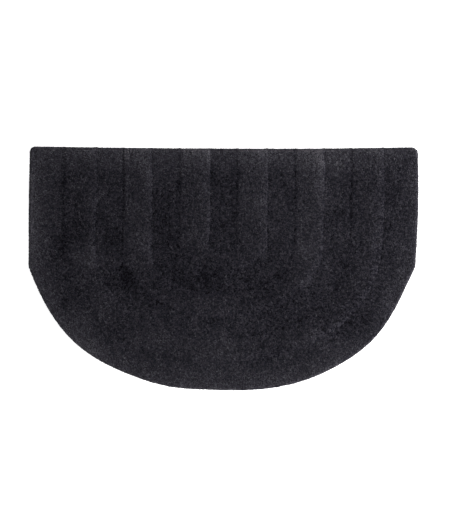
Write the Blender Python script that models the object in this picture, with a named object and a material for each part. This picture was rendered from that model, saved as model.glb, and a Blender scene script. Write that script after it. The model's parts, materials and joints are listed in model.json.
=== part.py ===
# Half moon rug: one piece of hand-tufted cut pile with a straight back edge and a round front edge.
# Six carved lines, nested U shapes open at the back edge, part the pile into bands that stand low
# and high in turn, from a low band in the middle to a low border.
# Metres, +Z up. The back edge is at +Y, the round front edge at -Y, and the underside lies at Z = 0.

import math
from typing import NamedTuple

import bmesh
import bpy
from mathutils import Vector

RUG_NAME = "rug"
COLLECTION_NAME = "half_moon_rug"

# Outline: straight back and sides, then one curve from each side's end to the front
HALF_WIDTH = 0.549
BACK_Y = 0.3415
SIDE_END_Y = 0.0094
FRONT_Y = -0.3398
SIDE_TURN = math.radians(21.8)
SIDE_HANDLE = 0.174
FRONT_HANDLE = 0.385
CORNER_RADIUS = 0.014

# Carved lines: straight limbs from the back edge to LIMB_END_Y, joined by a round foot
LIMB_END_Y = 0.075
FOOT_FULLNESS = 0.58


class Line(NamedTuple):
    half_width: float
    foot_y: float


LINES = (
    Line(half_width=0.041, foot_y=0.044),
    Line(half_width=0.122, foot_y=0.002),
    Line(half_width=0.206, foot_y=-0.071),
    Line(half_width=0.283, foot_y=-0.134),
    Line(half_width=0.364, foot_y=-0.197),
    Line(half_width=0.451, foot_y=-0.262),
)

# Heights above the underside
GROUND_HEIGHT = 0.0045
LOW_PILE = 0.0128
HIGH_PILE = 0.0158
GROOVE_BELOW_LOW = 0.0028
SHOULDER_DROP = 0.0009
BAND_CROWN = 0.0004

# Widths across a carved line and round the rug's edge
GROOVE_HALF = 0.0035
SHOULDER_REACH = 0.0095
EDGE_ROUND = 0.011
EDGE_STEPS = (0.0, 0.0008, 0.003, 0.0065, EDGE_ROUND)

# Hand-made unevenness: the whole plan sways sideways along Y, the back edge is a shallow hollow,
# the carved lines and the rim wander a little, and the pile swells gently
SWAY = 0.0035
SWAY_MIDDLE = -0.0005
SWAY_TOP_Y = 0.240
SWAY_REACH = 0.350
BACK_RISE_LEFT = 0.0068
BACK_RISE_RIGHT = 0.0042
BACK_LOW_X = 0.150
BACK_FADE = 0.090
LINE_WAVE_SHARE = 0.004
LINE_WAVE_COUNT = 5.0
PILE_SWELL = 0.0004
PILE_SWELL_LENGTH = 0.170
PILE_SWELL_PHASE = 0.8


class Wave(NamedTuple):
    size: float
    count: float
    phase: float


RIM_WAVES = (
    Wave(size=0.0020, count=3.0, phase=5.5),
    Wave(size=0.0017, count=9.0, phase=0.0),
    Wave(size=0.0005, count=13.0, phase=2.0),
)

# Mesh columns along half a line, from the back edge to the foot
LIMB_COLUMNS = 6
FOOT_COLUMNS = 20

COLOUR = (0.0205, 0.0195, 0.0245, 1.0)
ROUGHNESS = 0.95

WELD = 0.00001
SMOOTH_BELOW = math.radians(50.0)


class Row(NamedTuple):
    band: int
    side: str
    distance: float
    height: float


def band_height(band):
    return HIGH_PILE if band % 2 else LOW_PILE


def make_rows():
    """Rows of the mesh from the middle of the rug to its edge, with the pile's height on each."""
    rows = []
    border = len(LINES)
    for band in range(border + 1):
        top = band_height(band)
        if band == 0:
            rows.append(Row(band, "inner", 0.0, top + BAND_CROWN))
        else:
            rows.append(Row(band, "inner", GROOVE_HALF, top - SHOULDER_DROP))
            rows.append(Row(band, "inner", SHOULDER_REACH, top))
        rows.append(Row(band, "middle", 0.0, top + BAND_CROWN))
        if band == border:
            rows += [Row(band, "outer", step, top) for step in reversed(EDGE_STEPS)]
        else:
            rows.append(Row(band, "outer", SHOULDER_REACH, top))
            rows.append(Row(band, "outer", GROOVE_HALF, top - SHOULDER_DROP))
            rows.append(Row(band, "outer", 0.0, LOW_PILE - GROOVE_BELOW_LOW))
    return rows


def bezier(start, start_handle, end_handle, end, t):
    s = 1.0 - t
    return start * s**3 + start_handle * 3 * s * s * t + end_handle * 3 * s * t * t + end * t**3


def foot_point(ring, t):
    """Point on the right half of a ring's round foot: t = 0 at the limb, t = 1 at the front."""
    if ring == 0:
        return Vector((0.0, LIMB_END_Y))
    if ring > len(LINES):
        limb = Vector((HALF_WIDTH, SIDE_END_Y))
        front = Vector((0.0, FRONT_Y))
        leave = Vector((-math.sin(SIDE_TURN), -math.cos(SIDE_TURN))) * SIDE_HANDLE
        arrive = Vector((FRONT_HANDLE, 0.0))
    else:
        line = LINES[ring - 1]
        limb = Vector((line.half_width, LIMB_END_Y))
        front = Vector((0.0, line.foot_y))
        leave = Vector((0.0, line.foot_y - LIMB_END_Y)) * FOOT_FULLNESS
        arrive = Vector((line.half_width, 0.0)) * FOOT_FULLNESS
    return bezier(limb, limb + leave, front + arrive, front, t)


def back_distance(column):
    """Distance of a limb's column from the back edge, or None on the foot."""
    if column < len(EDGE_STEPS):
        return EDGE_STEPS[column]
    return None


def ring_point(ring, column, side):
    """Point of a ring on a mesh column counted from the back edge; ring 0 is the rug's middle line."""
    last_edge = len(EDGE_STEPS) - 1
    limb_end = last_edge + LIMB_COLUMNS
    if column > limb_end:
        point = foot_point(ring, (column - limb_end) / FOOT_COLUMNS)
    else:
        end = foot_point(ring, 0.0)
        edge = back_distance(column)
        if edge is not None:
            y = BACK_Y - edge
        else:
            share = (column - last_edge) / LIMB_COLUMNS
            y = (BACK_Y - EDGE_ROUND) * (1.0 - share) + end.y * share
        point = Vector((end.x, y))
    point.x *= side
    return point


def ring_wave(ring, point):
    """Small outward push that makes a ring look cut by hand."""
    if ring == 0:
        return 0.0
    turn = math.atan2(point.y - LIMB_END_Y, point.x)
    if ring <= len(LINES):
        size = LINE_WAVE_SHARE * LINES[ring - 1].half_width
        return size * math.sin(LINE_WAVE_COUNT * turn + ring)
    return sum(wave.size * math.sin(wave.count * turn + wave.phase) for wave in RIM_WAVES)


def waved_ring_point(ring, column, side):
    point = ring_point(ring, column, side)
    away = point - Vector((0.0, LIMB_END_Y))
    if column < len(EDGE_STEPS) + LIMB_COLUMNS:
        away.y = 0.0
    if away.length > 0.0:
        point += away.normalized() * ring_wave(ring, point)
    return point


def back_edge_shift(x):
    """How far the back edge lies beyond BACK_Y: a shallow hollow between two rounded corners."""
    if x < BACK_LOW_X:
        shift = BACK_RISE_LEFT * ((BACK_LOW_X - x) / (HALF_WIDTH + BACK_LOW_X)) ** 2
    else:
        shift = BACK_RISE_RIGHT * ((x - BACK_LOW_X) / (HALF_WIDTH - BACK_LOW_X)) ** 2
    over = min(abs(x) - (HALF_WIDTH - CORNER_RADIUS), CORNER_RADIUS)
    if over > 0.0:
        shift -= CORNER_RADIUS - math.sqrt(CORNER_RADIUS**2 - over**2)
    return shift


def uneven(point):
    """Move a point of the even plan to its place on the rug."""
    fade = max(0.0, 1.0 - (BACK_Y - point.y) / BACK_FADE)
    y = point.y + back_edge_shift(point.x) * fade
    x = point.x + SWAY_MIDDLE + SWAY * math.cos(math.pi * (y - SWAY_TOP_Y) / SWAY_REACH)
    return Vector((x, y))


def edge_roll(distance):
    """Share of the pile's height at a distance from the rug's edge, a quarter round."""
    if distance >= EDGE_ROUND:
        return 1.0
    return math.sqrt(1.0 - (1.0 - distance / EDGE_ROUND) ** 2)


def surface_point(row, column, side):
    inner = waved_ring_point(row.band, column, side)
    outer = waved_ring_point(row.band + 1, column, side)
    span = (outer - inner).length
    if row.side == "inner":
        share = row.distance / span if span else 0.0
    elif row.side == "outer":
        share = 1.0 - row.distance / span
    else:
        share = 0.5
    place = uneven(inner.lerp(outer, share))

    at_rim = row.band == len(LINES) and row.side == "outer"
    roll = edge_roll(row.distance) if at_rim else 1.0
    edge = back_distance(column)
    if edge is not None:
        roll *= edge_roll(edge)
    wave = 2.0 * math.pi / PILE_SWELL_LENGTH
    swell = PILE_SWELL * math.sin(wave * place.x + PILE_SWELL_PHASE) * math.cos(wave * place.y)
    height = GROUND_HEIGHT + (row.height + swell - GROUND_HEIGHT) * roll
    return Vector((place.x, place.y, height))


def make_pile_surface(mesh):
    """A grid bent into the rug: columns run along the carved lines, rows from the middle to the edge."""
    rows = make_rows()
    half_columns = len(EDGE_STEPS) - 1 + LIMB_COLUMNS + FOOT_COLUMNS
    columns = 2 * half_columns
    bmesh.ops.create_grid(mesh, x_segments=columns, y_segments=len(rows) - 1, size=0.5)
    for vert in mesh.verts:
        across = round((vert.co.x + 0.5) * columns)
        row = rows[round((vert.co.y + 0.5) * (len(rows) - 1))]
        side = -1.0 if across < half_columns else 1.0
        vert.co = surface_point(row, min(across, columns - across), side)
    bmesh.ops.remove_doubles(mesh, verts=mesh.verts, dist=WELD)


def close_underside(mesh):
    """A low upright wall all round, and the flat underside."""
    rim = [edge for edge in mesh.edges if edge.is_boundary]
    wall = bmesh.ops.extrude_edge_only(mesh, edges=rim)["geom"]
    for vert in [item for item in wall if isinstance(item, bmesh.types.BMVert)]:
        vert.co.z = 0.0
    foot = [edge for edge in mesh.edges if edge.is_boundary]
    bmesh.ops.edgeloop_fill(mesh, edges=foot)
    bmesh.ops.recalc_face_normals(mesh, faces=mesh.faces)


def centre_on_origin(mesh):
    xs = [vert.co.x for vert in mesh.verts]
    ys = [vert.co.y for vert in mesh.verts]
    middle = Vector(((min(xs) + max(xs)) / 2, (min(ys) + max(ys)) / 2, 0.0))
    bmesh.ops.translate(mesh, verts=mesh.verts, vec=-middle)


def pile_material():
    material = bpy.data.materials.new("charcoal_pile")
    material.use_nodes = True
    shader = material.node_tree.nodes["Principled BSDF"]
    shader.inputs["Base Color"].default_value = COLOUR
    shader.inputs["Roughness"].default_value = ROUGHNESS
    shader.inputs["Metallic"].default_value = 0.0
    return material


def make_rug():
    mesh = bmesh.new()
    make_pile_surface(mesh)
    close_underside(mesh)
    centre_on_origin(mesh)
    data = bpy.data.meshes.new(RUG_NAME)
    mesh.to_mesh(data)
    mesh.free()
    data.shade_smooth()
    data.set_sharp_from_angle(angle=SMOOTH_BELOW)
    data.materials.append(pile_material())
    rug = bpy.data.objects.new(RUG_NAME, data)
    collection = bpy.data.collections.new(COLLECTION_NAME)
    bpy.context.scene.collection.children.link(collection)
    collection.objects.link(rug)
    return rug


for old in list(bpy.data.objects):
    bpy.data.objects.remove(old)
make_rug()
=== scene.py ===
import json
import math
from typing import NamedTuple

import bmesh
import bpy
import numpy as np
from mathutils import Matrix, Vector

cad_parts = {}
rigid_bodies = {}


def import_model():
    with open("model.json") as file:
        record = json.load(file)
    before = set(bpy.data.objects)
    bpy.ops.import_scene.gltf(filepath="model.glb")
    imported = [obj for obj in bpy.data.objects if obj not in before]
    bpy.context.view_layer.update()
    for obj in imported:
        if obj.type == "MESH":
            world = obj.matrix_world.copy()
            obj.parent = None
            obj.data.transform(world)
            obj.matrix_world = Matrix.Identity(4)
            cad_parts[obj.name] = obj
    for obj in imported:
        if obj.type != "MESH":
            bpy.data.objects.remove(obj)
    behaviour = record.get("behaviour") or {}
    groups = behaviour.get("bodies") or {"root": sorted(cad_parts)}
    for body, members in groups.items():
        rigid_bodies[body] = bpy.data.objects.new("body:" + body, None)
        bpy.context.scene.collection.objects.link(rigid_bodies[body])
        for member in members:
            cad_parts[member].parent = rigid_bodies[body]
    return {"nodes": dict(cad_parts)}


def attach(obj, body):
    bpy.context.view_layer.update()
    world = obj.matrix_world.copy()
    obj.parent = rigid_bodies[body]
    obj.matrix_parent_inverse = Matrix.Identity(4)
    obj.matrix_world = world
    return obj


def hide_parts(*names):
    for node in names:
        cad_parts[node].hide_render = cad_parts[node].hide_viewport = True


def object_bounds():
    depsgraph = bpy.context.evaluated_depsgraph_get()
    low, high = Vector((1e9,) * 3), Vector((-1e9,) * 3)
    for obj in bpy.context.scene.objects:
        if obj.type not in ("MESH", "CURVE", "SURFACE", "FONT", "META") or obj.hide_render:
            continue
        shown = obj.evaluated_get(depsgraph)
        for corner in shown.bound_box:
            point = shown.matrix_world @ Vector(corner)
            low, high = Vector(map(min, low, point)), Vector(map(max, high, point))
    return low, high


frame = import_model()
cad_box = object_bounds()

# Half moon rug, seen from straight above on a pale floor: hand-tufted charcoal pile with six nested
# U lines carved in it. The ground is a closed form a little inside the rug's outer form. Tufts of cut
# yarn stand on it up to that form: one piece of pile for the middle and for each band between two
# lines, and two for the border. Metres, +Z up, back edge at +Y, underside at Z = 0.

RUG = "rug"
BODY = "root"

# Carved lines: straight limbs from the back edge to LIMB_END_Y, joined by a round foot. The plan is
# even about its own middle, which lies at PLAN_MIDDLE once the rug is centred, and it sways sideways
# along Y. The bands of pile meet a little to the left of the grooves.
BACK_Y = 0.3415
PAST_BACK = 0.05
LIMB_END_Y = 0.075
FOOT_FULLNESS = 0.58
FOOT_STEPS = 24
LIMB_STEPS = 14
PLAN_MIDDLE = np.array((-0.00104, -0.00385))
SWAY = 0.0035
SWAY_MIDDLE = -0.0005
SWAY_TOP_Y = 0.240
SWAY_REACH = 0.350
BANDS_SHIFT = -0.0013
LINE_WAVE_SHARE = 0.004
LINE_WAVE_COUNT = 5.0


class Line(NamedTuple):
    """A carved line, and how dark the shadow painted in its groove is, where the pile parts along it.
    """

    half_width: float
    foot_y: float
    groove_shadow: float


LINES = (
    Line(half_width=0.041, foot_y=0.044, groove_shadow=0.0),
    Line(half_width=0.122, foot_y=0.002, groove_shadow=0.08),
    Line(half_width=0.206, foot_y=-0.071, groove_shadow=0.30),
    Line(half_width=0.283, foot_y=-0.134, groove_shadow=0.28),
    Line(half_width=0.364, foot_y=-0.197, groove_shadow=0.26),
    Line(half_width=0.451, foot_y=-0.262, groove_shadow=0.30),
)
BORDER = len(LINES)

# The ground: how finely the CAD form is cut, and how far the tufts' roots lie inside it
WELD = 1e-5
TINY = 1e-6
ON_FLOOR = 1e-4
FLAT_DOWN = 0.9
LONG_EDGES = (0.012, 0.0065)
TUFT_SHARE = 0.46
RIM_TUFT = 0.0046
RIM_INSET = 0.0012
RIM_FOOT_LIFT = 0.35
RIM_REACH = 0.016
RIM_SPLAY = 0.55
RIM_LOOSE = 0.35
GROOVE_FILL = 0.0012
GROOVE_REACH = 0.007

# How the pile leans: with its band, over the edges of the high bands, with its patch and its clump
BAND_LEAN = 0.34
BORDER_LEAN = 0.10
SHOULDER_LEAN = 0.38
SHOULDER_REACH = 0.0065
PATCH_LEAN = 0.45
PATCH_SIZE = 0.034
PATCH_DETAIL = 3.0
PATCH_STRETCH = (1.0, 0.6, 1.0)
CLUMP_LEAN = 0.95
CLUMP_SIZE = 0.012
CLUMP_DETAIL = 1.0
STRAY_LEAN = 0.12
STRAY_RANGE = (1.0, 1.0, 0.3)
LEVEL = (1.0, 1.0, 0.0)
NOISE_MIDDLE = (0.5, 0.5, 0.5)

# One tuft, 1 tall and about 1 wide: wide and narrow corners in turn round a crown, over a sunk root
TUFT_KINDS = 6
TUFT_SEED = 41
TUFT_SIDES = 6
CORNER_WANDER = 0.22
NARROW_SPREAD = (0.42, 0.72)
NARROW_HEIGHT = (0.35, 0.60)
WIDE_SPREAD = (1.00, 1.45)
WIDE_HEIGHT = (0.52, 0.92)
CROWN_WANDER = 0.35
CROWN_HEIGHT = (0.95, 1.10)
ROOT_HEIGHT = -0.5
CORNER_TIP = 0.85
OPENED_CORNER = 0.6

# Planting
TUFT_SPACING = 0.00245
TUFT_RADIUS = 0.0024
DENSEST = 700000.0
WIDTH_RANGE = (0.86, 1.16)
HEIGHT_RANGE = (0.86, 1.10)
SPIN_DRAW, WIDTH_DRAW, HEIGHT_DRAW, FLECK_DRAW, STRAY_DRAW, TONE_DRAW, KIND_DRAW = range(1, 8)
LOWEST = (-10.0, -10.0, 0.0003)
OPENED_REACH = 0.75
PLANTING_ONLY = ("centre", "stand", "rise", "loose", "light")

# Tone from tuft to tuft, in small lumps and in brushed patches, with a few pale flecks. The grain
# stays nearly as strong where the pile is paler or darker.
TONE_RANGE = (0.36, 1.64)
LUMP_SHARE = 0.7
LUMP_GAIN = 2.2
LUMP_BASE = -0.10
LUMP_LIMITS = (0.35, 1.8)
PATCH_GAIN = 1.2
PATCH_BASE = 0.40
FLECK_RARITY = 10.0
FLECK_GAIN = 0.95
TONE_MIDDLE = 1.04
TONE_LIMITS = (0.08, 6.0)
GRAIN_HOLD = 0.20

# Tone by place, with painted light and shade: each band's own, partly painted light on the raised
# bands; painted shade beside the lines and a painted shadow in their grooves; the high bands paler on
# their lit side; painted light towards the rim
# Each band's own tone, partly painted light: the raised high bands paler, the low bands darker
BAND_LIGHTNESS = (0.84, 1.17, 0.91, 1.28, 0.96, 1.06, 1.02)
LIT_FROM = np.array((0.94, -0.34))
# How far the painted shadow in each groove reaches from its line
GROOVE_SHADOW_REACH = 0.003
EDGE_SHADE = 0.28
EDGE_SHADE_LIT = 0.13
EDGE_REACH = 0.0065
# How much paler the high bands are painted on the side that faces the light, and darker on the other
HIGH_SIDE_LIGHT = 0.09
# Painted light over a wide strip towards the rim, where the splayed pile catches light from the floor,
# and a painted highlight at the edge itself
RIM_LIGHT = 0.70
RIM_LIGHT_REACH = 0.085
RIM_HIGHLIGHT = 0.42
RIM_HIGHLIGHT_REACH = 0.008

# How clearly the bands and lines show: fully on the limbs, less on the foot, least on its right
FOOT_SHARE_LEFT = 0.80
FOOT_SHARE_RIGHT = 0.42
FOOT_TURN = 0.20
FOOT_Y = -0.02
FOOT_REACH = 0.14


class BrushedAndLit(NamedTuple):
    """A soft patch where the pile is paler, or darker below zero: brushed nap in some, painted light
    and shade in others, such as the paler back edge.
    """

    x: float
    y: float
    wide: float
    long: float
    paler: float


# Patches of paler or darker pile: brushed nap in some, painted light and shade in others
BRUSHED_AND_LIT = (
    BrushedAndLit(x=0.00, y=0.34, wide=0.60, long=0.060, paler=0.19),
    BrushedAndLit(x=0.085, y=0.18, wide=0.020, long=0.050, paler=0.38),
    BrushedAndLit(x=0.165, y=0.17, wide=0.045, long=0.080, paler=0.26),
    BrushedAndLit(x=0.29, y=0.27, wide=0.070, long=0.065, paler=0.36),
    BrushedAndLit(x=0.235, y=0.05, wide=0.030, long=0.040, paler=0.50),
    BrushedAndLit(x=0.42, y=0.16, wide=0.030, long=0.060, paler=0.22),
    BrushedAndLit(x=0.51, y=0.21, wide=0.050, long=0.170, paler=-0.26),
    BrushedAndLit(x=0.40, y=-0.16, wide=0.075, long=0.060, paler=-0.33),
    BrushedAndLit(x=0.12, y=-0.09, wide=0.130, long=0.060, paler=-0.28),
    BrushedAndLit(x=0.245, y=-0.035, wide=0.025, long=0.025, paler=0.36),
    BrushedAndLit(x=0.245, y=-0.20, wide=0.022, long=0.022, paler=0.55),
    BrushedAndLit(x=-0.01, y=-0.105, wide=0.080, long=0.025, paler=0.22),
    BrushedAndLit(x=-0.02, y=-0.24, wide=0.085, long=0.045, paler=0.52),
    BrushedAndLit(x=-0.185, y=-0.205, wide=0.075, long=0.028, paler=0.50),
    BrushedAndLit(x=-0.36, y=-0.11, wide=0.042, long=0.032, paler=0.36),
    BrushedAndLit(x=-0.40, y=-0.22, wide=0.050, long=0.050, paler=0.32),
    BrushedAndLit(x=-0.455, y=-0.09, wide=0.020, long=0.060, paler=-0.30),
    BrushedAndLit(x=-0.475, y=0.045, wide=0.035, long=0.050, paler=-0.28),
    BrushedAndLit(x=-0.295, y=-0.03, wide=0.055, long=0.045, paler=-0.40),
    BrushedAndLit(x=-0.39, y=0.025, wide=0.045, long=0.026, paler=0.62),
    BrushedAndLit(x=-0.325, y=0.085, wide=0.030, long=0.045, paler=-0.28),
    BrushedAndLit(x=-0.42, y=0.13, wide=0.022, long=0.060, paler=-0.36),
    BrushedAndLit(x=-0.54, y=0.12, wide=0.020, long=0.100, paler=0.32),
    BrushedAndLit(x=-0.17, y=0.265, wide=0.035, long=0.025, paler=0.30),
    BrushedAndLit(x=-0.155, y=0.15, wide=0.024, long=0.100, paler=-0.38),
    BrushedAndLit(x=-0.06, y=-0.02, wide=0.150, long=0.050, paler=-0.34),
    BrushedAndLit(x=-0.17, y=-0.065, wide=0.090, long=0.045, paler=-0.28),
)

# Colours, linear
CHARCOAL = (0.0163, 0.0155, 0.0208, 1.0)
HEATHER = (0.0390, 0.0374, 0.0478, 1.0)
ROOT_SHADE = (0.0050, 0.0047, 0.0072, 1.0)
BLUE_HOLD = 0.90
CLOTH = (0.150, 0.140, 0.128, 1.0)
CLOTH_DARK = (0.060, 0.056, 0.054, 1.0)
FLOOR = (0.86, 0.86, 0.86, 1.0)
FLOOR_PALER = (0.8858, 0.8858, 0.8858, 1.0)
WHITE = (1.0, 1.0, 1.0, 1.0)

# Yarn: how its streaks turn into heather, how far up the root's shade reaches, and its fibres
HEATHER_GAIN = 3.0
HEATHER_DROP = 1.0
ROOT_GAIN = 1.2
ROOT_DROP = 0.1
STREAK_SIZE = 1.0
STREAK_SEEDS = (40.0, 70.0)
STREAK_RUN = 1.5
YARN_GLOSS = 0.05
BED_FIBRE = 0.0016
BED_DETAIL = 3.0
CLOTH_THREAD = 0.0030
CLOTH_SLUB = 0.006
WEAVE_SHARE = 0.6


class Finish(NamedTuple):
    """A surface's roughness, how far it varies, and the depth and strength of its relief."""

    roughness: float
    varies: float
    relief: float
    strength: float


PILE_FINISH = Finish(roughness=0.82, varies=0.15, relief=0.0016, strength=0.9)
BED_FINISH = Finish(roughness=0.88, varies=0.10, relief=0.0010, strength=0.7)
CLOTH_FINISH = Finish(roughness=0.85, varies=0.10, relief=0.0006, strength=0.8)

# Floor, light and camera
FLOOR_HALF = 30.0
FLOOR_GRAIN = 0.20
FLOOR_DETAIL = 1.0
FLOOR_ROUGHNESS = 0.9
FLOOR_GLOSS = 0.1
FLOOR_GLOW = 0.80
ROOM_LIGHT = 0.35
WINDOW_PLACE = Vector((2.6, -0.5, 2.3))
WINDOW_SIZE = 2.0
WINDOW_POWER = 206.0
PIXELS_HIGH = 518.0
METRES_PER_PIXEL = 0.002834
VIEW_MIDDLE = Vector((0.0041, 0.0268))
LENS = 85.0
SENSOR = 36.0


# Small helpers for node trees


class Wire:
    """An output socket that can be used in plain sums, in shader and geometry trees alike."""

    def __init__(self, graph, socket):
        self.graph = graph
        self.socket = socket

    def maths(self, operation, *values):
        vector = self.socket.type in ("VECTOR", "RGBA")
        kind = "ShaderNodeVectorMath" if vector else "ShaderNodeMath"
        return self.graph.add(kind, {"operation": operation}, dict(enumerate(values)))

    def __add__(self, other):
        return self.maths("ADD", self, other)

    def __radd__(self, other):
        return self.maths("ADD", other, self)

    def __sub__(self, other):
        return self.maths("SUBTRACT", self, other)

    def __rsub__(self, other):
        return self.maths("SUBTRACT", other, self)

    def __mul__(self, other):
        return self.maths("MULTIPLY", self, other)

    def __rmul__(self, other):
        return self.maths("MULTIPLY", other, self)

    def power(self, exponent):
        return self.maths("POWER", self, exponent)

    def sine(self):
        return self.maths("SINE", self)

    def unit(self):
        return self.maths("NORMALIZE", self)

    def scaled(self, size):
        """This vector times a number."""
        return self.graph.add("ShaderNodeVectorMath", {"operation": "SCALE"}, {0: self, "Scale": size})

    def length(self):
        return self.graph.add("ShaderNodeVectorMath", {"operation": "LENGTH"}, {0: self}, "Value")

    def limited(self, low, high):
        return self.graph.add("ShaderNodeClamp", {}, {0: self, 1: low, 2: high})


class Graph:
    """Adds nodes to one tree. An input is a number, a vector, a name or another node's output."""

    def __init__(self, tree):
        self.tree = tree

    def add(self, kind, settings=None, inputs=None, output=0):
        node = self.tree.nodes.new(kind)
        for name, value in (settings or {}).items():
            setattr(node, name, value)
        for key, value in (inputs or {}).items():
            self.feed(node.inputs[key], value)
        return Wire(self, node.outputs[output])

    def feed(self, socket, value):
        if isinstance(value, Wire):
            self.tree.links.new(value.socket, socket)
        else:
            socket.default_value = value

    def noise(self, place, size, detail=2.0, output="Fac"):
        """Noise with lumps of about the given size in metres, from 0 to 1 and even about 0.5."""
        inputs = {"Vector": place, "Scale": 1.0 / size, "Detail": detail}
        return self.add("ShaderNodeTexNoise", {}, inputs, output)

    def joined(self, x, y, z):
        """Three numbers as a vector."""
        return self.add("ShaderNodeCombineXYZ", {}, {0: x, 1: y, 2: z})


# Materials


class Surface(Graph):
    """The node tree of a new material, and its shader."""

    def __init__(self, name):
        self.material = bpy.data.materials.new(name)
        self.material.use_nodes = True
        super().__init__(self.material.node_tree)
        self.shader = self.tree.nodes["Principled BSDF"]

    def place(self):
        return self.add("ShaderNodeTexCoord", {}, {}, "Object")

    def stored(self, name, output="Fac"):
        return self.add("ShaderNodeAttribute", {"attribute_name": name}, {}, output)

    def mix(self, share, first, second):
        inputs = {"Factor": share, 6: first, 7: second}
        return self.add("ShaderNodeMix", {"data_type": "RGBA"}, inputs, 2)

    def colour(self, value):
        self.feed(self.shader.inputs["Base Color"], value)

    def finish(self, finish, grain, relief):
        """Roughness that varies with the grain, and the relief as bump."""
        self.feed(self.shader.inputs["Roughness"], grain * finish.varies + finish.roughness)
        inputs = {"Strength": finish.strength, "Distance": finish.relief, "Height": relief}
        self.feed(self.shader.inputs["Normal"], self.add("ShaderNodeBump", {}, inputs))

    def set(self, name, value):
        self.shader.inputs[name].default_value = value


def fibre_ends(surface, tone):
    """Fine streaks that run down each tuft from its crown, different on every tuft."""
    opened = surface.stored("opened", "Vector")
    run = opened.length() * STREAK_RUN
    seed = surface.joined(tone * STREAK_SEEDS[0], tone * STREAK_SEEDS[1], run)
    return surface.noise(opened.unit() + seed, STREAK_SIZE)


def pile_material():
    """Cut wool pile: heathered charcoal yarn with painted shade towards its root, and soft fibre ends.
    """
    surface = Surface("charcoal_pile")
    tip = surface.stored("tip")
    tone = surface.stored("tone")
    fibres = fibre_ends(surface, tone)
    heathered = (fibres * HEATHER_GAIN - HEATHER_DROP).limited(0.0, 1.0)
    above_root = (tip * ROOT_GAIN - ROOT_DROP).limited(0.0, 1.0)
    # Painted shade: the yarn darkens from the crown down to the root
    yarn = surface.mix(above_root, ROOT_SHADE, surface.mix(heathered, CHARCOAL, HEATHER))
    surface.colour(yarn * surface.joined(tone, tone, tone.power(BLUE_HOLD)))
    surface.finish(PILE_FINISH, fibres, fibres)
    surface.set("Specular IOR Level", YARN_GLOSS)
    return surface.material


def pile_bed_material():
    """The bed of yarn seen between the tufts: charcoal yarn mixed with painted shade."""
    surface = Surface("pile_bed")
    fibres = surface.noise(surface.place(), BED_FIBRE, BED_DETAIL)
    surface.colour(surface.mix(fibres, ROOT_SHADE, CHARCOAL))
    surface.finish(BED_FINISH, fibres, fibres)
    return surface.material


def ground_cloth_material():
    """Plain woven ground cloth, on the underside."""
    surface = Surface("ground_cloth")
    place = surface.place()
    thread = 2.0 * math.pi / CLOTH_THREAD
    across, along = (surface.add("ShaderNodeSeparateXYZ", {}, {0: place}, axis) for axis in (0, 1))
    weave = (across * thread).sine() * (along * thread).sine() * 0.5 + 0.5
    slubs = surface.noise(place, CLOTH_SLUB)
    share = weave * WEAVE_SHARE + slubs * (1.0 - WEAVE_SHARE)
    surface.colour(surface.mix(share, CLOTH_DARK, CLOTH))
    surface.finish(CLOTH_FINISH, slubs, weave)
    return surface.material


def floor_material():
    surface = Surface("pale_floor")
    grain = surface.noise(surface.place(), FLOOR_GRAIN, FLOOR_DETAIL)
    surface.colour(surface.mix(grain, FLOOR, FLOOR_PALER))
    surface.set("Roughness", FLOOR_ROUGHNESS)
    surface.set("Specular IOR Level", FLOOR_GLOSS)
    surface.set("Emission Color", WHITE)
    surface.set("Emission Strength", FLOOR_GLOW)
    return surface.material


# Carved lines


def foot_curve(line, t):
    """Right half of a line's round foot, from the limb's end to the front."""
    drop = (line.foot_y - LIMB_END_Y) * FOOT_FULLNESS
    reach = line.half_width * FOOT_FULLNESS
    s = 1.0 - t
    weights = (s**3, 3 * t * s**2, 3 * t**2 * s, t**3)
    across = (line.half_width, line.half_width, reach, 0.0)
    down = (LIMB_END_Y, LIMB_END_Y + drop, line.foot_y, line.foot_y)
    return sum(w * x for w, x in zip(weights, across)), sum(w * y for w, y in zip(weights, down))


def line_path(number):
    """Points along a carved line: down its left limb, round its foot and up its right limb."""
    line = LINES[number]
    foot_x, foot_y = foot_curve(line, np.linspace(0.0, 1.0, FOOT_STEPS + 1))
    limb_y = np.linspace(BACK_Y + PAST_BACK, LIMB_END_Y, LIMB_STEPS, endpoint=False)
    x = np.concatenate((np.full(LIMB_STEPS, line.half_width), foot_x))
    y = np.concatenate((limb_y, foot_y))
    x = np.concatenate((-x, x[-2::-1]))
    y = np.concatenate((y, y[-2::-1]))

    turn = np.arctan2(y - LIMB_END_Y, x)
    wave = LINE_WAVE_SHARE * line.half_width * np.sin(LINE_WAVE_COUNT * turn + number + 1)
    out_y = np.where(y > LIMB_END_Y, 0.0, y - LIMB_END_Y)
    out = np.hypot(x, out_y)
    x, y = x + wave * x / out, y + wave * out_y / out
    x = x + SWAY_MIDDLE + BANDS_SHIFT + SWAY * np.cos(np.pi * (y - SWAY_TOP_Y) / SWAY_REACH)
    return np.stack((x, y), axis=1) + PLAN_MIDDLE


def across_path(places, path):
    """Each place's signed distance from a path, positive on its right, and the way to its right."""
    step = np.diff(path, axis=0)
    away = places[:, None] - path[None, :-1]
    share = np.clip((away * step).sum(2) / (step**2).sum(1), 0.0, 1.0)
    gap = away - share[..., None] * step
    distance = np.hypot(gap[..., 0], gap[..., 1])
    nearest = distance.argmin(1)
    rows = np.arange(len(places))
    step = step[nearest]
    gap = gap[rows, nearest]
    right = np.stack((step[:, 1], -step[:, 0]), axis=1)
    right /= np.linalg.norm(right, axis=1)[:, None]
    side = np.where((gap * right).sum(1) < 0.0, -1.0, 1.0)
    return distance[rows, nearest] * side, right


def smooth(value):
    """From 0 to 1 with a soft start and end."""
    value = np.clip(value, 0.0, 1.0)
    return value * value * (3.0 - 2.0 * value)


def shoulder(distance):
    """How much the pile rolls over an edge this far away: nothing right at it, most a little inside."""
    share = distance / SHOULDER_REACH
    return share * np.exp(1.0 - share)


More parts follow.
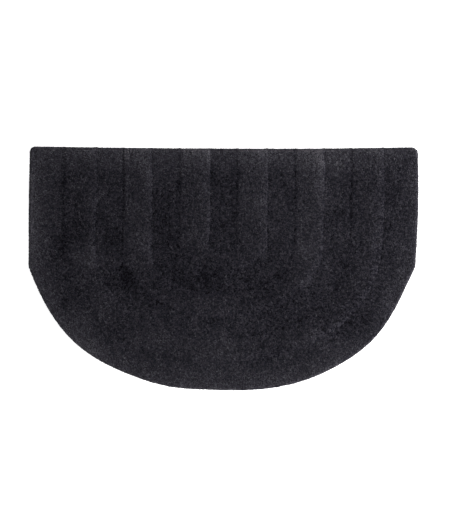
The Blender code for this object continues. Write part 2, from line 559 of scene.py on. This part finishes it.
def edge_shade(shaded):
    """How dark the low pile is beside an edge, which is darkest where the light comes over it."""
    return EDGE_SHADE_LIT + (EDGE_SHADE - EDGE_SHADE_LIT) * np.clip(shaded, 0.0, 1.0)


class Plan(NamedTuple):
    """What the carved lines and the rim say of each place seen from above.

    The band it is in, how its pile leans, the light and shade painted on it by its band and beside
    the lines, the shadow painted in the nearest line's groove, how far that line and the rim are,
    and the way out over the rim.
    """

    band: np.ndarray
    lean: np.ndarray
    shade: np.ndarray
    painted_groove_shadow: np.ndarray
    line: np.ndarray
    rim: np.ndarray
    outward: np.ndarray


def read_plan(places, rim_path):
    outside, ways = zip(*(across_path(places, line_path(n)) for n in range(BORDER)))
    outside = np.array(outside)
    from_line = np.abs(outside)
    rim, outward = across_path(places, rim_path)
    rim = np.abs(rim)
    rows = np.arange(len(places))
    band = (outside > 0.0).sum(0)
    inner = np.where(band > 0, from_line[np.maximum(band - 1, 0), rows], 0.0)
    outer = np.where(band < BORDER, from_line[np.minimum(band, BORDER - 1), rows], rim)
    share = inner / np.maximum(inner + outer, TINY)
    way = np.array(ways)[np.clip(band, 0, BORDER - 1), rows]

    high = band % 2 == 1
    swing = np.where(high, -np.cos(np.pi * share), np.cos(np.pi * share)) * BAND_LEAN
    swing = np.where(band == 0, -share * BAND_LEAN, swing)
    swing = np.where(band == BORDER, (1.0 - share) * BORDER_LEAN, swing)
    swing = swing + np.where(high, (shoulder(outer) - shoulder(inner)) * SHOULDER_LEAN, 0.0)

    shaded = way @ LIT_FROM
    beside_inner = np.exp(-inner / EDGE_REACH) * edge_shade(-shaded)
    beside_outer = np.exp(-outer / EDGE_REACH) * edge_shade(shaded)
    beside_inner[band == 0] = 0.0
    beside_outer[band == BORDER] = 0.0
    # Painted light and shade across the high bands: paler on the side facing the light, darker on the
    # other
    lit_side = -HIGH_SIDE_LIGHT * (2.0 * share - 1.0) * shaded
    shade = np.where(high, lit_side, beside_inner + beside_outer)

    # Painted shadow in the nearest line's groove, where the pile parts
    line = from_line.min(0)
    groove_shadow = np.array([each.groove_shadow for each in LINES])[from_line.argmin(0)]
    painted_groove_shadow = groove_shadow * np.exp(-((line / GROOVE_SHADOW_REACH) ** 2))
    return Plan(band, way * swing[:, None], shade, painted_groove_shadow, line, rim, outward)


# Reading and writing meshes


def points_of(mesh):
    places = np.empty(len(mesh.vertices) * 3)
    mesh.vertices.foreach_get("co", places)
    return places.reshape(-1, 3)


def triangles_of(mesh):
    corners = np.empty(len(mesh.polygons) * 3, dtype=int)
    mesh.polygons.foreach_get("vertices", corners)
    return corners.reshape(-1, 3)


def store(mesh, name, values, domain="POINT"):
    """Keeps a number or a vector for every point, or for every corner, of a mesh."""
    vectors = values.ndim == 2
    layer = mesh.attributes.new(name, "FLOAT_VECTOR" if vectors else "FLOAT", domain)
    layer.data.foreach_set("vector" if vectors else "value", values.ravel())


def show(name, mesh):
    """A mesh as an object in the scene."""
    piece = bpy.data.objects.new(name, mesh)
    bpy.context.scene.collection.objects.link(piece)
    return piece


# The ground


def merged_copy(node):
    """A copy of a CAD node's mesh with its corners joined, cut finer above the floor."""
    work = bmesh.new()
    work.from_mesh(node.data)
    bmesh.ops.remove_doubles(work, verts=work.verts, dist=WELD)
    for limit in LONG_EDGES:
        upper = [edge for edge in work.edges if any(v.co.z > ON_FLOOR for v in edge.verts)]
        long = [edge for edge in upper if edge.calc_length() > limit]
        bmesh.ops.subdivide_edges(work, edges=long, cuts=1, use_grid_fill=False)
        bmesh.ops.triangulate(work, faces=work.faces)
    bmesh.ops.recalc_face_normals(work, faces=work.faces)
    mesh = bpy.data.meshes.new("rug_bed")
    work.to_mesh(mesh)
    work.free()
    return mesh


def is_rim_edge(edge):
    """True where the flat underside meets the wall."""
    if not edge.is_manifold or any(v.co.z > ON_FLOOR for v in edge.verts):
        return False
    first, second = (abs(face.normal.z) > FLAT_DOWN for face in edge.link_faces)
    return first != second


def rim_of(mesh):
    """The rug's outline on the floor, as a closed path with the floor on its right."""
    work = bmesh.new()
    work.from_mesh(mesh)
    links = {}
    for edge in filter(is_rim_edge, work.edges):
        a, b = (v.index for v in edge.verts)
        links.setdefault(a, []).append(b)
        links.setdefault(b, []).append(a)
    work.verts.ensure_lookup_table()
    first = min(links)
    walk = [first, links[first][0]]
    while walk[-1] != first:
        walk.append(next(v for v in links[walk[-1]] if v != walk[-2]))
    path = np.array([work.verts[v].co.xy for v in walk])
    work.free()
    turning = path[:-1, 0] * path[1:, 1] - path[1:, 0] * path[:-1, 1]
    return path if turning.sum() > 0.0 else path[::-1]


class Bed(NamedTuple):
    """What the tufts stand on.

    For each of its points: where the tuft there points, how long it is, how loosely it stands, and
    what the plan says.
    """

    mesh: bpy.types.Mesh
    stand: np.ndarray
    rise: np.ndarray
    loose: np.ndarray
    plan: Plan


def make_bed():
    """The CAD form drawn in by the length of the pile, and the tufts that fill it out again."""
    mesh = merged_copy(frame["nodes"][RUG])
    surface = points_of(mesh)
    normal = np.array([tuple(v.normal) for v in mesh.vertices])
    plan = read_plan(surface[:, :2], rim_of(mesh))

    edge = 1.0 - smooth(plan.rim / RIM_REACH)
    up = np.array((0.0, 0.0, 1.0))
    stand = up * (1.0 - edge)[:, None] + normal * edge[:, None]
    stand[:, :2] += plan.outward * (RIM_SPLAY * edge)[:, None]
    foot = surface[:, 2] < ON_FLOOR
    on_rim = foot & (plan.rim < ON_FLOOR)
    stand[on_rim, 2] = RIM_FOOT_LIFT
    stand /= np.maximum(np.linalg.norm(stand, axis=1), TINY)[:, None]

    full = TUFT_SHARE * surface[:, 2] * (1.0 - edge)
    rise = full + RIM_TUFT * edge + GROOVE_FILL * (1.0 - smooth(plan.line / GROOVE_REACH))
    inset = np.where(foot & ~on_rim, 0.0, full + RIM_INSET * edge)
    place = surface - stand * inset[:, None]
    place[foot, 2] = 0.0
    mesh.vertices.foreach_set("co", place.ravel())
    mesh.update()
    loose = 1.0 - (1.0 - RIM_LOOSE) * edge
    return Bed(mesh, stand, rise, loose, plan)


def make_ground(bed):
    """The bed as a piece of its own: yarn with painted shade above, woven cloth below."""
    mesh = bed.mesh.copy()
    mesh.name = "rug_ground"
    mesh.materials.clear()
    mesh.materials.append(pile_bed_material())
    mesh.materials.append(ground_cloth_material())
    for face in mesh.polygons:
        face.material_index = 1 if face.normal.z < -FLAT_DOWN else 0
    return show("rug_ground", mesh)


# Tufts


def tuft_mesh(kind):
    """One tuft of cut yarn, 1 tall: a root sunk in the ground, ragged spread sides and an uneven crown.

    Each corner also knows its place on the tuft opened out flat, with the crown in the middle.
    """
    chance = np.random.default_rng(TUFT_SEED + kind)
    steps = np.arange(TUFT_SIDES) + chance.uniform(-CORNER_WANDER, CORNER_WANDER, TUFT_SIDES)
    turns = 2.0 * np.pi * steps / TUFT_SIDES
    spread = chance.uniform(*NARROW_SPREAD, TUFT_SIDES)
    heights = chance.uniform(*NARROW_HEIGHT, TUFT_SIDES)
    spread[::2] = chance.uniform(*WIDE_SPREAD, TUFT_SIDES // 2)
    heights[::2] = chance.uniform(*WIDE_HEIGHT, TUFT_SIDES // 2)
    ring = np.stack((np.cos(turns), np.sin(turns), np.zeros(TUFT_SIDES)), axis=1)
    places = [(*(ring[side, :2] * spread[side]), heights[side]) for side in range(TUFT_SIDES)]
    places.append((*chance.uniform(-CROWN_WANDER, CROWN_WANDER, 2), chance.uniform(*CROWN_HEIGHT)))
    places.append((0.0, 0.0, ROOT_HEIGHT))
    crown, root = TUFT_SIDES, TUFT_SIDES + 1

    faces = []
    opened = []
    for side in range(TUFT_SIDES):
        after = (side + 1) % TUFT_SIDES
        here, there = ring[side] * OPENED_CORNER, ring[after] * OPENED_CORNER
        out = ring[side] + ring[after]
        faces += [(side, after, crown), (after, side, root)]
        opened += [here, there, np.zeros(3), there, here, out / np.linalg.norm(out)]
    mesh = bpy.data.meshes.new(f"tuft_{kind}")
    mesh.from_pydata(places, [], faces)
    store(mesh, "tip", np.array([CORNER_TIP] * TUFT_SIDES + [1.0, 0.0]))
    store(mesh, "opened", np.array(opened), "CORNER")
    mesh.shade_smooth()
    return mesh


def make_tuft_kinds():
    """The kinds of tuft, kept in a collection of their own while the pile is planted."""
    kinds = bpy.data.collections.new("tuft_kinds")
    for kind in range(TUFT_KINDS):
        kinds.objects.link(bpy.data.objects.new(f"tuft_{kind}", tuft_mesh(kind)))
    bpy.context.scene.collection.children.link(kinds)
    return kinds


def clear_tuft_kinds(kinds):
    for tuft in list(kinds.objects):
        mesh = tuft.data
        bpy.data.objects.remove(tuft)
        bpy.data.meshes.remove(mesh)
    bpy.data.collections.remove(kinds)


# Planting

PLANT_INPUTS = (
    ("Kinds", "NodeSocketCollection", None),
    ("Tuft spacing", "NodeSocketFloat", TUFT_SPACING),
    ("Tuft radius", "NodeSocketFloat", TUFT_RADIUS),
    ("Patch lean", "NodeSocketFloat", PATCH_LEAN),
    ("Clump lean", "NodeSocketFloat", CLUMP_LEAN),
    ("Stray lean", "NodeSocketFloat", STRAY_LEAN),
    ("Seed", "NodeSocketInt", 0),
    ("Material", "NodeSocketMaterial", None),
)


class Planting(Graph):
    """A geometry tree with the planting's named inputs."""

    def __init__(self, name):
        super().__init__(bpy.data.node_groups.new(name, "GeometryNodeTree"))
        face = self.tree.interface
        face.new_socket("Geometry", in_out="INPUT", socket_type="NodeSocketGeometry")
        face.new_socket("Geometry", in_out="OUTPUT", socket_type="NodeSocketGeometry")
        for label, kind, value in PLANT_INPUTS:
            socket = face.new_socket(label, in_out="INPUT", socket_type=kind)
            if value is not None:
                socket.default_value = value
        self.start = self.tree.nodes.new("NodeGroupInput")

    def given(self, name):
        return Wire(self, self.start.outputs[name])

    def seed(self, draw):
        return self.given("Seed") + float(draw)

    def stored(self, name, data_type="FLOAT"):
        return self.add("GeometryNodeInputNamedAttribute", {"data_type": data_type}, {"Name": name})

    def chance(self, low, high, draw):
        """A number between two, for each tuft."""
        inputs = {2: low, 3: high, "Seed": self.seed(draw)}
        return self.add("FunctionNodeRandomValue", {"data_type": "FLOAT"}, inputs, 1)

    def keep(self, geometry, name, data_type, value):
        settings = {"data_type": data_type, "domain": "POINT"}
        inputs = {"Geometry": geometry, "Name": name, "Value": value}
        return self.add("GeometryNodeStoreNamedAttribute", settings, inputs)


def scatter(tree):
    """Points all over the bed, none nearer to another than the tufts' spacing."""
    inputs = {
        "Mesh": tree.given("Geometry"),
        "Distance Min": tree.given("Tuft spacing"),
        "Density Max": DENSEST,
        "Seed": tree.given("Seed"),
    }
    return tree.add("GeometryNodeDistributePointsOnFaces", {"distribute_method": "POISSON"}, inputs)


def sideways_noise(tree, place, size, detail):
    """A level vector that wanders from place to place."""
    return (tree.noise(place, size, detail, "Color") - NOISE_MIDDLE).scaled(2.0) * LEVEL


def tuft_turn(tree, place, stretched):
    """How each tuft stands: as its place says, leaning with its patch and clump, spun by chance."""
    patch = sideways_noise(tree, stretched, PATCH_SIZE, PATCH_DETAIL).scaled(tree.given("Patch lean"))
    clump = sideways_noise(tree, place, CLUMP_SIZE, CLUMP_DETAIL).scaled(tree.given("Clump lean"))
    inputs = {0: tuple(-reach for reach in STRAY_RANGE), 1: STRAY_RANGE, "Seed": tree.seed(STRAY_DRAW)}
    stray = tree.add("FunctionNodeRandomValue", {"data_type": "FLOAT_VECTOR"}, inputs)
    lean = patch + clump + stray.scaled(tree.given("Stray lean"))
    way = (tree.stored("stand", "FLOAT_VECTOR") + lean.scaled(tree.stored("loose"))).unit()
    stood = tree.add("FunctionNodeAlignRotationToVector", {"axis": "Z"}, {"Vector": way})
    inputs = {"Axis": (0.0, 0.0, 1.0), "Angle": tree.chance(0.0, 2.0 * math.pi, SPIN_DRAW)}
    spin = tree.add("FunctionNodeAxisAngleToRotation", {}, inputs)
    inputs = {"Rotation": stood, "Rotate By": spin}
    return tree.add("FunctionNodeRotateRotation", {"rotation_space": "LOCAL"}, inputs)


def tuft_size(tree):
    radius = tree.given("Tuft radius") * tree.chance(*WIDTH_RANGE, WIDTH_DRAW)
    rise = tree.stored("rise") * tree.chance(*HEIGHT_RANGE, HEIGHT_DRAW)
    return tree.joined(radius, radius, rise)


def tuft_tone(tree, place, stretched):
    """How pale each tuft is: its own chance, its lump, its patch and its place's light."""
    lump = tree.noise(place, CLUMP_SIZE * LUMP_SHARE, CLUMP_DETAIL) * LUMP_GAIN + LUMP_BASE
    patch = tree.noise(stretched, PATCH_SIZE, PATCH_DETAIL) * PATCH_GAIN + PATCH_BASE
    fleck = tree.chance(0.0, 1.0, FLECK_DRAW).power(FLECK_RARITY) * FLECK_GAIN
    tone = tree.chance(*TONE_RANGE, TONE_DRAW) * lump.limited(*LUMP_LIMITS) * patch + fleck
    light = tree.stored("light")
    tone = (tone - TONE_MIDDLE) * light.power(GRAIN_HOLD) + light * TONE_MIDDLE
    return tone.limited(*TONE_LIMITS)


def planting_tree():
    """Plants tufts over a surface."""
    tree = Planting("plant_tufts")
    place = tree.add("GeometryNodeInputPosition")
    stretched = place * PATCH_STRETCH
    points = tree.keep(scatter(tree), "tone", "FLOAT", tuft_tone(tree, place, stretched))
    points = tree.keep(points, "centre", "FLOAT_VECTOR", place)

    inputs = {"Collection": tree.given("Kinds"), "Separate Children": True, "Reset Children": True}
    kinds = tree.add("GeometryNodeCollectionInfo", {"transform_space": "ORIGINAL"}, inputs)
    inputs = {4: 0, 5: TUFT_KINDS - 1, "Seed": tree.seed(KIND_DRAW)}
    inputs = {
        "Points": points,
        "Instance": kinds,
        "Pick Instance": True,
        "Instance Index": tree.add("FunctionNodeRandomValue", {"data_type": "INT"}, inputs, 2),
        "Rotation": tuft_turn(tree, place, stretched),
        "Scale": tuft_size(tree),
    }
    planted = tree.add("GeometryNodeInstanceOnPoints", {}, inputs)
    planted = tree.add("GeometryNodeRealizeInstances", {}, {"Geometry": planted})
    above = place.maths("MAXIMUM", place, LOWEST)
    planted = tree.add("GeometryNodeSetPosition", {}, {"Geometry": planted, "Position": above})
    inputs = {"Geometry": planted, "Material": tree.given("Material")}
    planted = tree.add("GeometryNodeSetMaterial", {}, inputs)
    tree.feed(tree.tree.nodes.new("NodeGroupOutput").inputs[0], planted)
    return tree.tree


def set_inputs(modifier, values):
    for item in modifier.node_group.interface.items_tree:
        if item.item_type == "SOCKET" and item.in_out == "INPUT" and item.name in values:
            modifier[item.identifier] = values[item.name]


def light_on_pile(places, plan, lightness):
    """How pale the pile is at each place, with painted light and shade from the plan, its band, the rim
    and the brushed and lit patches.
    """
    x, y = places[:, 0], places[:, 1]
    # Painted light towards the rim, where the splayed pile catches light from the floor, and a painted
    # highlight at the edge itself
    rim_highlight = RIM_HIGHLIGHT * np.exp(-plan.rim / RIM_HIGHLIGHT_REACH)
    light = 1.0 + RIM_LIGHT * (1.0 - smooth(plan.rim / RIM_LIGHT_REACH)) + rim_highlight
    to_right = smooth((x + FOOT_TURN) / (2.0 * FOOT_TURN))
    foot = FOOT_SHARE_LEFT + (FOOT_SHARE_RIGHT - FOOT_SHARE_LEFT) * to_right
    carved = foot + (1.0 - foot) * smooth((y - FOOT_Y) / FOOT_REACH)
    # Each band's own tone, partly painted light on the raised high bands, then painted shade beside the
    # lines and painted shadow in the grooves
    light *= 1.0 + (lightness - 1.0) * carved
    light *= (1.0 - plan.shade * carved) * (1.0 - plan.painted_groove_shadow * carved)
    # Patches of paler or darker pile: brushed nap in some, painted light and shade in others
    for patch in BRUSHED_AND_LIT:
        off = ((x - patch.x) / patch.wide) ** 2 + ((y - patch.y) / patch.long) ** 2
        light *= 1.0 + patch.paler * np.exp(-off)
    return light


class Plot(NamedTuple):
    """What one piece of pile stands on: its band, its faces of the bed, and the seed for its tufts."""

    name: str
    band: int
    chosen: np.ndarray
    seed: int


def part_of_bed(bed, plot):
    """The plot's faces of the bed as a mesh that knows how its tufts stand."""
    used, faces = np.unique(triangles_of(bed.mesh)[plot.chosen], return_inverse=True)
    places = points_of(bed.mesh)[used]
    plan = Plan(*(values[used] for values in bed.plan))
    mesh = bpy.data.meshes.new(plot.name + "_bed")
    mesh.from_pydata(places.tolist(), [], faces.reshape(-1, 3).tolist())
    stand = bed.stand[used]
    stand[:, :2] += plan.lean
    store(mesh, "stand", stand)
    store(mesh, "rise", bed.rise[used])
    store(mesh, "loose", bed.loose[used])
    store(mesh, "light", light_on_pile(places, plan, BAND_LIGHTNESS[plot.band]))
    return mesh


def top_view_map(mesh):
    """A map of the pile as seen from above, each tuft opened out flat round its own place."""
    centre = np.empty(len(mesh.vertices) * 3)
    opened = np.empty(len(mesh.loops) * 3)
    corners = np.empty(len(mesh.loops), dtype=int)
    mesh.attributes["centre"].data.foreach_get("vector", centre)
    mesh.attributes["opened"].data.foreach_get("vector", opened)
    mesh.loops.foreach_get("vertex_index", corners)
    reach = OPENED_REACH * TUFT_SPACING
    flat = centre.reshape(-1, 3)[corners, :2] + opened.reshape(-1, 3)[:, :2] * reach
    low = flat.min(0)
    flat = (flat - low) / (flat.max(0) - low).max()
    layer = mesh.uv_layers.new(name="OFBake")
    layer.uv.foreach_set("vector", flat.ravel())
    for name in PLANTING_ONLY:
        mesh.attributes.remove(mesh.attributes[name])


def plant(bed, plot, tree, inputs):
    """One piece of pile, planted by the tree with these inputs and the plot's own seed."""
    surface = show(plot.name, part_of_bed(bed, plot))
    modifier = surface.modifiers.new("tufts", "NODES")
    modifier.node_group = tree
    set_inputs(modifier, {**inputs, "Seed": plot.seed})
    shown = surface.evaluated_get(bpy.context.evaluated_depsgraph_get())
    mesh = bpy.data.meshes.new_from_object(shown)
    mesh.name = plot.name
    surface.modifiers.remove(modifier)
    bare = surface.data
    surface.data = mesh
    bpy.data.meshes.remove(bare)
    top_view_map(mesh)
    return surface


def pile_plots(bed):
    """The middle, each band, and the border's two halves."""
    faces = points_of(bed.mesh)[triangles_of(bed.mesh)]
    middle = faces.mean(1)
    upper = faces[:, :, 2].max(1) > ON_FLOOR
    band = read_plan(middle[:, :2], rim_of(bed.mesh)).band
    plots = [Plot("pile_middle", 0, upper & (band == 0), 1)]
    for number in range(1, BORDER):
        plots.append(Plot(f"pile_band_{number}", number, upper & (band == number), number + 1))
    border = upper & (band == BORDER)
    left = middle[:, 0] < 0.0
    plots.append(Plot("pile_border_left", BORDER, border & left, 2 * BORDER))
    plots.append(Plot("pile_border_right", BORDER, border & ~left, 2 * BORDER + 1))
    return plots


def make_pile(bed):
    tree = planting_tree()
    kinds = make_tuft_kinds()
    inputs = {"Kinds": kinds, "Material": pile_material()}
    pieces = [plant(bed, plot, tree, inputs) for plot in pile_plots(bed)]
    clear_tuft_kinds(kinds)
    bpy.data.node_groups.remove(tree)
    return pieces


# Stage, light and camera


def make_floor():
    mesh = bpy.data.meshes.new("floor")
    ring = ((-1.0, -1.0), (1.0, -1.0), (1.0, 1.0), (-1.0, 1.0))
    mesh.from_pydata([(x * FLOOR_HALF, y * FLOOR_HALF, 0.0) for x, y in ring], [], [(0, 1, 2, 3)])
    mesh.materials.append(floor_material())
    return show("floor", mesh)


def light_room():
    """Even pale light from all round, and a soft window on the right."""
    world = bpy.data.worlds.new("soft_room")
    world.use_nodes = True
    background = world.node_tree.nodes["Background"]
    background.inputs["Color"].default_value = WHITE
    background.inputs["Strength"].default_value = ROOM_LIGHT
    bpy.context.scene.world = world
    bpy.context.scene.view_settings.view_transform = "Standard"

    light = bpy.data.lights.new("window_side", "AREA")
    light.shape = "DISK"
    light.size = WINDOW_SIZE
    light.energy = WINDOW_POWER
    window = bpy.data.objects.new("window_side", light)
    window.location = WINDOW_PLACE
    window.rotation_euler = (-WINDOW_PLACE).to_track_quat("-Z", "Y").to_euler()
    bpy.context.scene.collection.objects.link(window)


def make_camera(top):
    """Straight above, so high that a pixel is METRES_PER_PIXEL wide at the top of the pile."""
    data = bpy.data.cameras.new("camera")
    data.lens = LENS
    data.sensor_width = SENSOR
    view_height = PIXELS_HIGH * METRES_PER_PIXEL
    camera = bpy.data.objects.new("camera", data)
    camera.location = (VIEW_MIDDLE.x, VIEW_MIDDLE.y, top + view_height * LENS / SENSOR)
    bpy.context.scene.collection.objects.link(camera)
    bpy.context.scene.camera = camera


# The whole scene


def main():
    low, high = cad_box
    bed = make_bed()
    ground = make_ground(bed)
    pile = make_pile(bed)
    bpy.data.meshes.remove(bed.mesh)
    floor = make_floor()

    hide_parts(RUG)
    for piece in [ground, *pile]:
        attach(piece, BODY)

    light_room()
    make_camera(high.z)


main()
